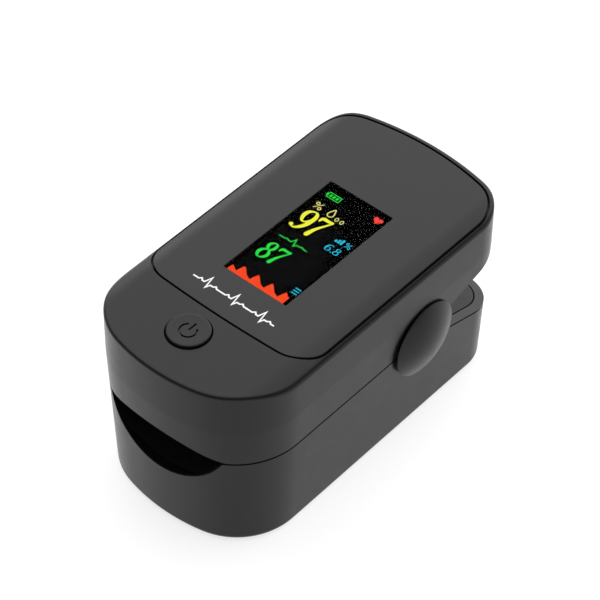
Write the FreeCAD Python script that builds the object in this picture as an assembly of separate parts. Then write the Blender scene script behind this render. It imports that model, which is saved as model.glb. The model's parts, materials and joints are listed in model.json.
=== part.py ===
"""Fingertip pulse oximeter: two hinged jaws that clip on a finger.

Millimetres. +Z up, +Y towards the hinge end, +X to the right when the finger mouth faces the user.
The pieces are drawn from datum planes inside the battery bay. At the end each one is moved by FORWARD
along Y and by RAISE upwards, so that the origin is on the resting face, under the middle of the jaws.
The jaws are shown closed.
"""
import FreeCAD, Part
import math
import os

# ---------------------------------------------------------------- driving dimensions
RAISE = 1.3                  # from the resting face up to the datum plane
FORWARD = 0.6                # from the datum plane towards the finger end to the middle of the length
BOTTOM = -RAISE
HALF_WIDTH = 15.42           # jaws at the parting plane, side wall to middle
Y_FRONT = -29.6              # finger end
Y_REAR = 28.4                # hinge end
FRONT_BOW, FRONT_CORNER = 30.0, 11.0
REAR_BOW, REAR_CORNER = 46.0, 6.5
TOP_Z = 28.9                 # middle of the crowned top
PARTING_Z = 15.5             # where the closed jaws meet
PARTING_GAP = 0.1            # each jaw's edge stands this far from the parting plane
WALL = 1.35                  # shell wall
SEAM = 0.2                   # visible line between a shell and its inner frame
FIT = 0.05                   # small gap between pieces of one jaw

CROWN_RUN, CROWN_DROP = 3.2, 1.25    # the top rolls down towards its long sides
RIM_FILLET = 0.5
CREASE_Z = 21.6              # a soft crease round the upper jaw
FLARE = 0.036                # under the crease the walls widen upwards, mm per mm
BOTTOM_FILLET = 1.2

HINGE_Y, HINGE_Z = 8.4, 15.5
LOWER_SLOPE, LOWER_SLOPE_DROP = 16.5, 0.9     # rear deck of the lower jaw, degrees and mm under the axis
UPPER_SLOPE, UPPER_SLOPE_RISE = 16.4, -0.1    # rear underside of the upper jaw

PAD = 1.0                    # silicone finger pads
OPTIC_Y = -10.0              # emitter and photodiode, under the fingertip
CELL_R, CELL_BODY, CELL_NUB = 5.15, 43.4, 0.8         # AAA
CELL_X, CELL_Y, CELL_Z = 5.25, -23.9, 4.8             # axis of a cell and its front end
FLOOR_Z = 10.05              # underside of the lower frame, just over the cells
BAY_REAR = 21.5              # rear end of the battery bay

PANEL_HALF, PANEL_FRONT, PANEL_REAR = 14.85, -16.65, 27.55
PANEL_CORNER_FRONT, PANEL_CORNER_REAR = 4.6, 5.9
PANEL_GAP = 0.3
PANEL_BASE_Z = 27.6
WINDOW_HALF, WINDOW_FRONT, WINDOW_REAR = 5.58, -9.35, 13.0
WINDOW_Z = 28.3              # underside of the window lens

BUTTON_X, BUTTON_Y = -0.8, -21.6           # the button sits a little left of the middle
BUTTON_R, BUTTON_GAP, BUTTON_TOP = 3.1, 0.28, 29.3
BOARD_Z, BOARD_T = 22.4, 0.8
CEILING_Z = 26.4             # underside of the wall below the panel

BARREL_R, BARREL_HALF = 4.0, 7.6
POCKET_R, POCKET_END = 4.1, 14.2
PIN_R = 1.25
HUB_R, HUB_RELIEF = 3.0, 3.4
CAP_R, CAP_INNER, CAP_OUTER = 6.0, 15.85, 17.6

DOOR_HALF, DOOR_T, TONGUE = 10.8, 0.75, 0.4

SIDES = (("left", -1), ("right", 1))
FAR = 40.0                   # beyond every face of the object


# ---------------------------------------------------------------- shapes used everywhere
def vec(x, y, z):
    return FreeCAD.Vector(x, y, z)


def box(x0, x1, y0, y1, z0, z1):
    return Part.makeBox(x1 - x0, y1 - y0, z1 - z0, vec(x0, y0, z0))


def rod_x(radius, x0, x1, y, z):
    return Part.makeCylinder(radius, abs(x1 - x0), vec(min(x0, x1), y, z), vec(1, 0, 0))


def rod_y(radius, y0, y1, x, z):
    return Part.makeCylinder(radius, y1 - y0, vec(x, y0, z), vec(0, 1, 0))


def rod_z(radius, z0, z1, x, y):
    return Part.makeCylinder(radius, z1 - z0, vec(x, y, z0), vec(0, 0, 1))


def side_box(side, x0, x1, y0, y1, z0, z1):
    """A box given for the right side, or its mirror image."""
    low, high = sorted((side * x0, side * x1))
    return box(low, high, y0, y1, z0, z1)


def fuse(*shapes):
    solid = shapes[0].fuse(list(shapes[1:]))
    return solid.removeSplitter()


def arc(start, middle, end):
    return Part.Arc(start, middle, end).toShape()


def line(start, end):
    return Part.LineSegment(start, end).toShape()


def bowed_outline(half, y_front, front_bow, front_r, y_rear, rear_bow, rear_r, z):
    """A closed plan outline: straight sides, bowed ends and round corners, all tangent."""
    ends = []
    for y_end, bow, corner, sign in ((y_front, front_bow, front_r, -1), (y_rear, rear_bow, rear_r, 1)):
        corner_x = half - corner
        bow_y = y_end - sign * bow
        corner_y = bow_y + sign * math.sqrt((bow - corner) ** 2 - corner_x ** 2)
        reach = bow / (bow - corner)
        tangent = (corner_x * reach, bow_y + (corner_y - bow_y) * reach)
        turn = math.atan2(sign * (tangent[1] - corner_y), tangent[0] - corner_x) / 2
        middle = (corner_x + corner * math.cos(turn), corner_y + sign * corner * math.sin(turn))
        ends.append((corner_y, middle, tangent))
    (front_y, front_mid, front_tan), (rear_y, rear_mid, rear_tan) = ends
    edges = [
        arc(vec(-front_tan[0], front_tan[1], z), vec(0, y_front, z), vec(front_tan[0], front_tan[1], z)),
        arc(vec(front_tan[0], front_tan[1], z), vec(front_mid[0], front_mid[1], z), vec(half, front_y, z)),
        line(vec(half, front_y, z), vec(half, rear_y, z)),
        arc(vec(half, rear_y, z), vec(rear_mid[0], rear_mid[1], z), vec(rear_tan[0], rear_tan[1], z)),
        arc(vec(rear_tan[0], rear_tan[1], z), vec(0, y_rear, z), vec(-rear_tan[0], rear_tan[1], z)),
        arc(vec(-rear_tan[0], rear_tan[1], z), vec(-rear_mid[0], rear_mid[1], z), vec(-half, rear_y, z)),
        line(vec(-half, rear_y, z), vec(-half, front_y, z)),
        arc(vec(-half, front_y, z), vec(-front_mid[0], front_mid[1], z), vec(-front_tan[0], front_tan[1], z)),
    ]
    return Part.Wire(edges)


def jaw_outline(inset, z):
    return bowed_outline(HALF_WIDTH - inset, Y_FRONT + inset, FRONT_BOW - inset, FRONT_CORNER - inset,
                         Y_REAR - inset, REAR_BOW - inset, REAR_CORNER - inset, z)


def flare(z):
    """How far the side walls at height z stand outside those at the parting plane."""
    return FLARE * (min(z, CREASE_Z) - PARTING_Z)


def jaw_prism(inset, z0, z1):
    """The jaw's plan set in by inset, between two heights, with the same flare as the outer walls."""
    levels = [z0] + [z for z in (CREASE_Z,) if z0 < z < z1] + [z1]
    parts = []
    for low, high in zip(levels, levels[1:]):
        wires = [jaw_outline(inset - flare(z), z) for z in (low, high)]
        parts.append(Part.makeLoft(wires, True, True))
    return parts[0] if len(parts) == 1 else fuse(*parts)


def panel_prism(grow, z0, z1):
    outline = bowed_outline(PANEL_HALF + grow, PANEL_FRONT - grow, 200.0, PANEL_CORNER_FRONT + grow,
                            PANEL_REAR + grow, REAR_BOW - 1.7 + grow, PANEL_CORNER_REAR + grow, z0)
    return Part.Face(outline).extrude(vec(0, 0, z1 - z0))


def side_profile(points, half=FAR):
    """A prism across the object, from points (y, z) of its side view."""
    corners = [vec(-half, y, z) for y, z in points]
    corners.append(corners[0])
    return Part.Face(Part.makePolygon(corners)).extrude(vec(2 * half, 0, 0))


def on_slope(y, degrees, offset):
    """Height at y of a line through the hinge axis, tilted by degrees and offset upwards."""
    return HINGE_Z + offset + math.tan(math.radians(degrees)) * (y - HINGE_Y)


def slope_start(degrees, offset, z):
    """Where that line leaves height z."""
    return HINGE_Y + (z - HINGE_Z - offset) / math.tan(math.radians(degrees))


def below_lower_edge():
    """Everything under the top edge of the lower jaw."""
    top = PARTING_Z - PARTING_GAP
    bend = slope_start(-LOWER_SLOPE, -LOWER_SLOPE_DROP, top)
    rear = on_slope(FAR, -LOWER_SLOPE, -LOWER_SLOPE_DROP)
    return side_profile([(-FAR, -FAR), (-FAR, top), (bend, top), (FAR, rear), (FAR, -FAR)])


def above_upper_edge(rise=0.0):
    """Everything over the bottom edge of the upper jaw, raised by rise."""
    low = PARTING_Z + PARTING_GAP
    bend = slope_start(UPPER_SLOPE, UPPER_SLOPE_RISE, low)
    rear = on_slope(FAR, UPPER_SLOPE, UPPER_SLOPE_RISE)
    return side_profile([(-FAR, FAR), (-FAR, low + rise), (bend, low + rise), (FAR, rear + rise), (FAR, FAR)])


def crowned_space():
    """Everything under the top: level in the middle, rolling down towards both long sides."""
    radius = (CROWN_RUN ** 2 + CROWN_DROP ** 2) / (2 * CROWN_DROP)
    half = HALF_WIDTH + flare(TOP_Z)
    level = half - CROWN_RUN

    def on_crown(side, out):
        return vec(side * (level + out), -FAR, TOP_Z - radius + math.sqrt(radius ** 2 - out ** 2))

    far_out = 1.1 * CROWN_RUN
    left, right = [on_crown(side, far_out) for side in (-1, 1)]
    low_left, low_right = [vec(place.x, -FAR, 0) for place in (left, right)]
    edges = [
        line(low_left, left),
        arc(left, on_crown(-1, far_out / 2), on_crown(-1, 0)),
        line(on_crown(-1, 0), on_crown(1, 0)),
        arc(on_crown(1, 0), on_crown(1, far_out / 2), right),
        line(right, low_right),
        line(low_right, low_left),
    ]
    return Part.Face(Part.Wire(edges)).extrude(vec(0, 2 * FAR, 0))


# ---------------------------------------------------------------- the finger channel
def channel(sections, sign, cut_z, offset):
    """The space for the finger: arcs (y, apex z, arc radius) joined front to back and closed at cut_z."""
    wires = []
    for y, apex, radius in sections:
        apex = apex + sign * offset
        radius = radius + offset
        centre_z = apex - sign * radius
        half = math.sqrt(radius ** 2 - (centre_z - cut_z) ** 2)
        low, middle, high = vec(-half, y, cut_z), vec(0, y, apex), vec(half, y, cut_z)
        wires.append(Part.Wire([arc(low, middle, high), line(high, low)]))
    return Part.makeLoft(wires, True, True)


def lower_channel(offset=0.0):
    mouth = (9.45, 11.74)
    trough = (12.7, 16.5)
    sections = [(-32.0, *mouth), (-28.0, *mouth), (-23.0, *trough), (3.5, *trough)]
    return channel(sections, -1, PARTING_Z + 1.0, offset)


def upper_channel(offset=0.0):
    mouth = (17.3, 32.1)
    trough = (19.6, 13.06)
    sections = [(-32.0, *mouth), (-28.0, *mouth), (-23.0, *trough), (4.6, *trough)]
    return channel(sections, 1, PARTING_Z - 0.5, offset)


def optic_hole(z0, z1, grow=0.0):
    return box(-4.0 - grow, 4.0 + grow, OPTIC_Y - 3.0 - grow, OPTIC_Y + 3.0 + grow, z0, z1)


# ---------------------------------------------------------------- lower jaw
SCREW_X = 12.4
LOWER_SCREW_Y = (-14.0, 17.0)


def door_space(grow):
    """The battery door: a flat plate that runs out through the rear, and its lip up the rear wall."""
    front = -24.5 - grow
    top = BOTTOM + DOOR_T + grow
    plate = jaw_prism(0, BOTTOM - 1, top).common(box(-DOOR_HALF - grow, DOOR_HALF + grow, front, FAR, -5, 5))
    tongue_half = DOOR_HALF + TONGUE + grow
    tongue = jaw_prism(0, BOTTOM + 0.3 - grow, top).common(
        box(-tongue_half, tongue_half, front - TONGUE, Y_REAR - 5.5 + grow, -5, 5))
    lip = jaw_prism(0, BOTTOM, BOTTOM + 4.0 + grow).cut(jaw_prism(WALL, BOTTOM - 1, BOTTOM + 9)).common(
        box(-8.0 - grow, 8.0 + grow, 20, FAR, BOTTOM - 1, 9))
    return fuse(plate, tongue, lip)


def lower_body():
    """The outside of the lower jaw with its rounded bottom edge."""
    body = jaw_prism(0, BOTTOM, PARTING_Z + 1)
    bottom = [edge for edge in body.Edges if edge.BoundBox.ZMax < BOTTOM + 0.01]
    return body.makeFillet(BOTTOM_FILLET, bottom)


def lower_shell():
    body = lower_body().common(below_lower_edge())
    inside = jaw_prism(WALL, BOTTOM + 1.5, PARTING_Z + 2)
    bosses = [rod_z(1.3, BOTTOM + 1, BOTTOM + 3, side * SCREW_X, y) for y in LOWER_SCREW_Y for _, side in SIDES]
    hollow = inside.cut(Part.makeCompound(bosses))
    body = body.cut(hollow)
    body = body.cut(lower_channel())
    body = body.cut(rod_x(HUB_RELIEF, -FAR, FAR, HINGE_Y, HINGE_Z))
    body = body.cut(box(-10.5, 10.5, -24.4, BAY_REAR, BOTTOM - 1, 2))
    body = body.cut(door_space(0.1))
    groove = DOOR_HALF + TONGUE + 0.1
    body = body.cut(box(-groove, groove, -20, FAR, BOTTOM + 0.2, BOTTOM + DOOR_T + 0.1))
    for y in LOWER_SCREW_Y:
        for _, side in SIDES:
            body = body.cut(rod_z(0.85, BOTTOM - 1, BOTTOM + 1.2, side * SCREW_X, y))
            body = body.cut(rod_z(0.6, BOTTOM + 1, BOTTOM + 4, side * SCREW_X, y))
    return body


def battery_door():
    door = door_space(0.0).common(lower_body())
    floor = box(-FAR, FAR, -FAR, FAR, BOTTOM + 0.1, 5)
    door = door.common(floor)
    for rib in range(5):
        y = 17.0 + rib * 1.6
        door = door.cut(box(-5.0, 5.0, y, y + 0.8, BOTTOM - 1, BOTTOM + 0.35))
    return door


def lower_frame():
    block = jaw_prism(WALL + SEAM, 1.8, PARTING_Z + 1).common(below_lower_edge())
    rear_drop = 1.2
    rear_top = on_slope(FAR, -LOWER_SLOPE, -LOWER_SLOPE_DROP - rear_drop)
    bay_top = on_slope(BAY_REAR, -LOWER_SLOPE, -LOWER_SLOPE_DROP - rear_drop)
    ramp_y = -24.7
    bay = side_profile([(-FAR, -1), (-FAR, 0.5), (-28.5, 6.0), (ramp_y, 9.0), (ramp_y, FLOOR_Z),
                        (BAY_REAR, FLOOR_Z), (BAY_REAR, bay_top), (FAR, rear_top), (FAR, -1)])
    frame = block.cut(bay)
    for y in LOWER_SCREW_Y:
        for _, side in SIDES:
            post = rod_z(1.3, BOTTOM + 3.1, FLOOR_Z + 0.3, side * SCREW_X, y)
            frame = frame.fuse(post.common(jaw_prism(WALL + SEAM, 1, 12)))
    frame = frame.cut(lower_channel(PAD + FIT))
    for _, side in SIDES:
        pocket = rod_x(POCKET_R, side * (BARREL_HALF - 0.1), side * POCKET_END, HINGE_Y, HINGE_Z)
        frame = frame.cut(pocket)
        web = side_box(side, 12.2, 13.4, HINGE_Y - 3.2, HINGE_Y + 3.2, FLOOR_Z, HINGE_Z)
        frame = frame.fuse([web, rod_x(3.2, side * 12.2, side * 13.4, HINGE_Y, HINGE_Z)])
        frame = frame.cut(side_box(side, 7.8, 8.8, HINGE_Y, HINGE_Y + 6.6, HINGE_Z - 2.9, HINGE_Z + 2))
    frame = frame.fuse(rod_x(BARREL_R, -BARREL_HALF, BARREL_HALF, HINGE_Y, HINGE_Z))
    frame = frame.cut(flex_space(0.25))
    frame = frame.cut(optic_hole(11.2, 14, 0.1))
    for y in LOWER_SCREW_Y:
        for _, side in SIDES:
            frame = frame.cut(rod_z(0.55, 0, BOTTOM + 9, side * SCREW_X, y))
    for _, side in SIDES:
        frame = frame.cut(rod_x(PIN_R + 0.03, side * 5.5, side * 14.5, HINGE_Y, HINGE_Z))
    return frame.removeSplitter()


def lower_finger_pad():
    pad = lower_channel(PAD).cut(lower_channel(0.0))
    pad = pad.common(jaw_prism(WALL + SEAM, 0, PARTING_Z - 0.2)).common(box(-FAR, FAR, -FAR, 3.2, 0, FAR))
    return pad.cut(optic_hole(5, 20, 0.1))


def sensor_window():
    return optic_hole(12.15, 12.7)


def photodiode():
    return box(-1.5, 1.5, OPTIC_Y - 1.5, OPTIC_Y + 1.5, 11.65, 12.1)


def sensor_board():
    return box(-3.9, 3.9, OPTIC_Y - 2.9, OPTIC_Y + 2.9, 11.25, 11.62)


def aaa_cell(side):
    """One cell; the two lie opposite ways round."""
    x = side * CELL_X
    if side < 0:
        nub_start = CELL_Y
        body_start = CELL_Y + CELL_NUB
    else:
        body_start = CELL_Y
        nub_start = CELL_Y + CELL_BODY
    body = rod_y(CELL_R, body_start, body_start + CELL_BODY, x, CELL_Z)
    rims = [edge for edge in body.Edges if edge.Curve.TypeId == "Part::GeomCircle"]
    body = body.makeFillet(0.4, rims)
    return fuse(body, rod_y(1.9, nub_start, nub_start + CELL_NUB, x, CELL_Z))


def front_contact(side):
    """A bent sheet contact in front of a cell; the one with the spring stands further off."""
    y = CELL_Y - 0.45 if side < 0 else -25.6
    x = side * CELL_X
    return box(x - 1.9, x + 1.9, y, y + 0.3, CELL_Z - 2.4, CELL_Z + 1.8)


def rear_contact():
    y = BAY_REAR - 0.35
    return box(-CELL_X - 2.5, CELL_X + 2.5, y, y + 0.3, CELL_Z - 2.4, CELL_Z + 2.6)


def contact_spring(side):
    """The space of a small compression spring that presses on a cell's flat end."""
    x = side * CELL_X
    if side > 0:
        start, end = -25.25, CELL_Y - 0.05
    else:
        start, end = CELL_Y + CELL_NUB + CELL_BODY + 0.05, BAY_REAR - 0.4
    return rod_y(2.2, start, end, x, CELL_Z).cut(rod_y(1.3, start - 1, end + 1, x, CELL_Z))


def lower_screws():
    screws = []
    for y in LOWER_SCREW_Y:
        for _, side in SIDES:
            head = rod_z(0.8, BOTTOM + 0.35, BOTTOM + 1.15, side * SCREW_X, y)
            shank = rod_z(0.5, BOTTOM + 1.1, BOTTOM + 8, side * SCREW_X, y)
            slot = box(side * SCREW_X - 0.5, side * SCREW_X + 0.5, y - 0.12, y + 0.12, BOTTOM, BOTTOM + 0.65)
            screws.append(head.fuse(shank).cut(slot))
    return Part.makeCompound(screws)


# ---------------------------------------------------------------- hinge
def hinge_pin(side):
    return rod_x(PIN_R, side * 5.6, side * 14.4, HINGE_Y, HINGE_Z)


def hinge_cap(side):
    """A shallow dome on a hub; the pin's end sits in the hub."""
    rise = CAP_OUTER - CAP_INNER - 0.35
    sphere_r = (CAP_R ** 2 + rise ** 2) / (2 * rise)
    sphere = Part.makeSphere(sphere_r, vec(side * (CAP_OUTER - sphere_r), HINGE_Y, HINGE_Z))
    disc = rod_x(CAP_R, side * CAP_INNER, side * (CAP_OUTER + 1), HINGE_Y, HINGE_Z).common(sphere)
    hub = rod_x(HUB_R, side * 13.45, side * (CAP_INNER + 0.1), HINGE_Y, HINGE_Z)
    return disc.fuse(hub).cut(rod_x(PIN_R + 0.03, side * 13.0, side * 14.5, HINGE_Y, HINGE_Z)).removeSplitter()


def torsion_spring(side):
    """The space of a coil round the pin, with one leg in each jaw's slot."""
    coil = rod_x(2.6, side * 7.95, side * 10.4, HINGE_Y, HINGE_Z)
    coil = coil.cut(rod_x(1.6, side * 7, side * 11, HINGE_Y, HINGE_Z))
    lower_leg = side_box(side, 7.95, 8.55, HINGE_Y, HINGE_Y + 3.4, HINGE_Z - 2.55, HINGE_Z - 1.95)
    upper_leg = side_box(side, 9.8, 10.4, HINGE_Y, HINGE_Y + 5.5, HINGE_Z + 1.95, HINGE_Z + 2.55)
    return fuse(coil, lower_leg, upper_leg)


def flex_space(grow):
    """The cable that runs under the finger pad, up the hinge barrel and into the upper jaw."""
    half = 2.0 + grow
    radius_in, radius_out = 3.5 - grow, 3.7 + grow
    front = HINGE_Y - radius_out
    back = HINGE_Y - radius_in
    run = box(-half, half, OPTIC_Y + 2, back, 11.0 - grow, 11.2 + grow)
    rise = box(-half, half, front, back, 11.0 - grow, HINGE_Z)
    ring = rod_x(radius_out, -half, half, HINGE_Y, HINGE_Z).cut(rod_x(radius_in, -half, half, HINGE_Y, HINGE_Z))
    turn = ring.common(side_profile([(-FAR, HINGE_Z), (HINGE_Y, HINGE_Z), (HINGE_Y - 20, HINGE_Z + 34.64),
                                     (-FAR, HINGE_Z + 34.64)]))
    lift_y = HINGE_Y - 3.6 * math.cos(math.radians(60))
    lift_z = HINGE_Z + 3.6 * math.sin(math.radians(60))
    lift = box(-half, half, lift_y - 0.1 - grow, lift_y + 0.1 + grow, lift_z - grow, BOARD_Z - 0.05)
    return fuse(run, rise, turn, lift)


# ---------------------------------------------------------------- upper jaw
UPPER_SCREWS = ((12.45, -17.5, PARTING_Z), (9.5, 21.5, 19.3))
BOARD_POSTS = ((9.0, -19.0), (9.0, 14.0))


def upper_body():
    """The outside of the upper jaw: two flared bands and a crowned top with a rounded rim."""
    lower_band = jaw_prism(0, 12, CREASE_Z)
    band = jaw_prism(0, CREASE_Z, TOP_Z + 1).common(crowned_space())
    rim = [edge for edge in band.Edges if edge.BoundBox.ZMin > CREASE_Z + 3 and not level_inside(edge)]
    band = band.makeFillet(RIM_FILLET, rim)
    return lower_band.fuse(band).common(above_upper_edge())


def level_inside(edge):
    """Whether an edge of the crowned top lies inside the rim."""
    middle = edge.valueAt((edge.FirstParameter + edge.LastParameter) / 2)
    inner = Part.Face(jaw_outline(0.6 - flare(TOP_Z), 0)).extrude(vec(0, 0, 2 * FAR))
    return inner.isInside(middle, 0.01, True)


def screw_boss_upper(x, y, z):
    return rod_z(1.7, z + 4.0, CEILING_Z + 0.5, x, y)


def upper_shell():
    body = upper_body()
    hollow = jaw_prism(WALL, 10, CEILING_Z)
    chin = jaw_prism(WALL, CEILING_Z - 1, 27.3).common(box(-FAR, FAR, -FAR, PANEL_FRONT - 0.6, 0, FAR))
    body = body.cut(hollow).cut(chin)
    for x, y, z in UPPER_SCREWS:
        for _, side in SIDES:
            boss = screw_boss_upper(side * x, y, z + 2.1).common(jaw_prism(0.5, 0, 28))
            body = body.fuse(boss)
    body = body.cut(upper_channel())
    body = body.cut(rod_x(HUB_RELIEF, -FAR, FAR, HINGE_Y, HINGE_Z))
    body = body.cut(panel_prism(PANEL_GAP, PANEL_BASE_Z, 35))
    body = body.cut(box(-7.1, 7.1, WINDOW_FRONT - 3.1, WINDOW_REAR + 3.1, 20, 30))
    body = body.cut(rod_z(BUTTON_R + BUTTON_GAP, 20, 35, BUTTON_X, BUTTON_Y))
    for x, y, z in UPPER_SCREWS:
        for _, side in SIDES:
            body = body.cut(rod_z(0.55, z, 25.2, side * x, y))
    return body.removeSplitter()


def top_panel():
    panel = panel_prism(0, PANEL_BASE_Z + FIT, 35).common(crowned_space())
    return panel.cut(box(-WINDOW_HALF - FIT, WINDOW_HALF + FIT, WINDOW_FRONT - FIT, WINDOW_REAR + FIT, 20, 35))


def display_window():
    return box(-WINDOW_HALF, WINDOW_HALF, WINDOW_FRONT, WINDOW_REAR, WINDOW_Z, TOP_Z)


def display_glass():
    return box(-WINDOW_HALF + 0.1, WINDOW_HALF - 0.1, WINDOW_FRONT + 0.1, WINDOW_REAR - 0.1, 27.3, WINDOW_Z - FIT)


def display_backlight():
    return box(-6.8, 6.8, WINDOW_FRONT - 2.8, WINDOW_REAR + 2.8, 25.0, 27.2)


def display_gasket():
    outer = box(-6.7, 6.7, WINDOW_FRONT - 1.5, WINDOW_REAR + 1.5, 27.25, 27.55)
    return outer.cut(box(-5.8, 5.8, WINDOW_FRONT - 0.3, WINDOW_REAR + 0.3, 27, 28))


def display_ribbon():
    """The flat cable folded from the rear of the backlight down to its connector."""
    y = WINDOW_REAR + 2.85
    out = box(-3.5, 3.5, y, y + 0.9, 25.9, 26.05)
    down = box(-3.5, 3.5, y + 0.75, y + 0.9, 23.75, 26.05)
    back = box(-3.5, 3.5, y - 0.9, y + 0.9, 23.75, 23.9)
    return fuse(out, down, back)


def main_board():
    board = jaw_prism(3.2, BOARD_Z, BOARD_Z + BOARD_T).common(box(-10.4, 10.4, -FAR, 19.6, 0, FAR))
    for x, y in BOARD_POSTS:
        for _, side in SIDES:
            board = board.cut(rod_z(0.65, 20, 26, side * x, y))
    return board


def chip(x, y, half_x, half_y, height):
    base = BOARD_Z + BOARD_T + 0.02
    return box(x - half_x, x + half_x, y - half_y, y + half_y, base, base + height)


def switch_body():
    base = BOARD_Z + BOARD_T + 0.02
    body = box(BUTTON_X - 2.25, BUTTON_X + 2.25, BUTTON_Y - 2.25, BUTTON_Y + 2.25, base, base + 1.6)
    return body.cut(rod_z(1.1, base + 0.5, base + 3, BUTTON_X, BUTTON_Y))


def switch_plunger():
    return rod_z(1.0, 24.3, 25.4, BUTTON_X, BUTTON_Y)


def power_button():
    cap = rod_z(BUTTON_R, 26.8, BUTTON_TOP, BUTTON_X, BUTTON_Y)
    rim = [edge for edge in cap.Edges if edge.BoundBox.ZMin > BUTTON_TOP - 0.01]
    cap = cap.makeFillet(0.35, rim)
    flange = rod_z(4.1, 26.2, 26.95, BUTTON_X, BUTTON_Y)
    stem = rod_z(1.6, 25.45, 26.3, BUTTON_X, BUTTON_Y)
    return fuse(cap, flange, stem)


def upper_frame():
    top = BOARD_Z - 0.8
    block = jaw_prism(WALL + SEAM, 12, top).common(above_upper_edge())
    rear = jaw_prism(WALL + SEAM, 12, 26).common(above_upper_edge()).cut(above_upper_edge(1.2))
    rear = rear.common(box(-FAR, FAR, 16, FAR, 0, FAR))
    frame = block.fuse(rear)
    for x, y in BOARD_POSTS:
        for _, side in SIDES:
            frame = frame.fuse([rod_z(1.3, top - 1, BOARD_Z - 0.03, side * x, y),
                                rod_z(0.6, top - 1, BOARD_Z + BOARD_T + 0.4, side * x, y)])
    frame = frame.cut(upper_channel(PAD + FIT))
    frame = frame.cut(rod_x(BARREL_R + 0.3, -BARREL_HALF - 0.15, BARREL_HALF + 0.15, HINGE_Y, HINGE_Z))
    for _, side in SIDES:
        pocket = rod_x(POCKET_R, side * BARREL_HALF, side * 14.1, HINGE_Y, HINGE_Z)
        frame = frame.cut(pocket)
        web = side_box(side, 10.7, 12.0, HINGE_Y - 2.6, HINGE_Y + 2.6, HINGE_Z, 20.4)
        frame = frame.fuse([web, rod_x(2.9, side * 10.7, side * 12.0, HINGE_Y, HINGE_Z)])
        frame = frame.cut(side_box(side, 9.6, 10.5, HINGE_Y, HINGE_Y + 6.6, HINGE_Z - 2, HINGE_Z + 2.9))
        frame = frame.cut(rod_x(PIN_R + 0.06, side * 10, side * 12.1, HINGE_Y, HINGE_Z))
    frame = frame.cut(flex_space(0.3))
    frame = frame.cut(optic_hole(18, 26, 0.1))
    for x, y, z in UPPER_SCREWS:
        for _, side in SIDES:
            frame = frame.cut(rod_z(0.65, z - 3, 26, side * x, y))
            frame = frame.cut(rod_z(1.15, z - 3, z + 1.1, side * x, y))
            frame = frame.cut(rod_z(1.8, z + 4.0, 26, side * x, y))
    return frame.removeSplitter()


def upper_finger_pad():
    pad = upper_channel(PAD).cut(upper_channel(0.0))
    pad = pad.common(jaw_prism(WALL + SEAM, PARTING_Z + 0.2, 30)).common(box(-FAR, FAR, -FAR, 3.6, 0, FAR))
    return pad.cut(optic_hole(15, 25, 0.1))


def emitter_window():
    return optic_hole(19.6, 20.15)


def emitter_led():
    return box(-1.6, 1.6, OPTIC_Y - 1.4, OPTIC_Y + 1.4, 20.2, 20.9)


def emitter_board():
    return box(-3.9, 3.9, OPTIC_Y - 2.9, OPTIC_Y + 2.9, 20.95, 21.45)


def upper_screws():
    screws = []
    for x, y, z in UPPER_SCREWS:
        for _, side in SIDES:
            head = rod_z(1.05, z + 0.3, z + 1.05, side * x, y)
            shank = rod_z(0.5, z + 1.0, z + 8.0, side * x, y) if y < 0 else rod_z(0.5, z + 1.0, 25.0, side * x, y)
            slot = box(side * x - 0.65, side * x + 0.65, y - 0.12, y + 0.12, z, z + 0.6)
            screws.append(head.fuse(shank).cut(slot))
    return Part.makeCompound(screws)


# ---------------------------------------------------------------- write every piece
def build():
    pieces = {
        "lower_shell": lower_shell(),
        "lower_frame": lower_frame(),
        "lower_finger_pad": lower_finger_pad(),
        "sensor_window": sensor_window(),
        "photodiode": photodiode(),
        "sensor_board": sensor_board(),
        "rear_contact": rear_contact(),
        "battery_door": battery_door(),
        "lower_screws": lower_screws(),
        "upper_shell": upper_shell(),
        "top_panel": top_panel(),
        "display_window": display_window(),
        "display_glass": display_glass(),
        "display_backlight": display_backlight(),
        "display_gasket": display_gasket(),
        "display_ribbon": display_ribbon(),
        "ribbon_connector": chip(0.0, WINDOW_REAR + 2.6, 4.0, 1.1, 0.5),
        "main_board": main_board(),
        "microcontroller": chip(-3.0, 6.0, 3.5, 3.5, 0.9),
        "amplifier_chip": chip(5.0, -3.0, 2.5, 2.5, 0.8),
        "switch_body": switch_body(),
        "switch_plunger": switch_plunger(),
        "power_button": power_button(),
        "upper_frame": upper_frame(),
        "upper_finger_pad": upper_finger_pad(),
        "emitter_window": emitter_window(),
        "emitter_led": emitter_led(),
        "emitter_board": emitter_board(),
        "upper_screws": upper_screws(),
        "hinge_flex": flex_space(0.0),
    }
    for name, side in SIDES:
        pieces["battery_" + name] = aaa_cell(side)
        pieces["front_contact_" + name] = front_contact(side)
        pieces["contact_spring_" + ("rear" if side < 0 else "front")] = contact_spring(side)
        pieces["hinge_pin_" + name] = hinge_pin(side)
        pieces["hinge_cap_" + name] = hinge_cap(side)
        pieces["torsion_spring_" + name] = torsion_spring(side)
    return pieces


os.makedirs("parts", exist_ok=True)
for node, shape in build().items():
    shape.translate(vec(0, FORWARD, RAISE))
    print("%-22s solids %d valid %s volume %.1f" % (node, len(shape.Solids), shape.isValid(), shape.Volume))
    shape.exportStep("parts/%s.step" % node)
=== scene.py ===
"""Looks of the fingertip pulse oximeter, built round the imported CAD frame.

Lengths are in metres. Where a comment says mm, they are multiplied by MM where they are used.
"""
import json
import math

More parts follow.
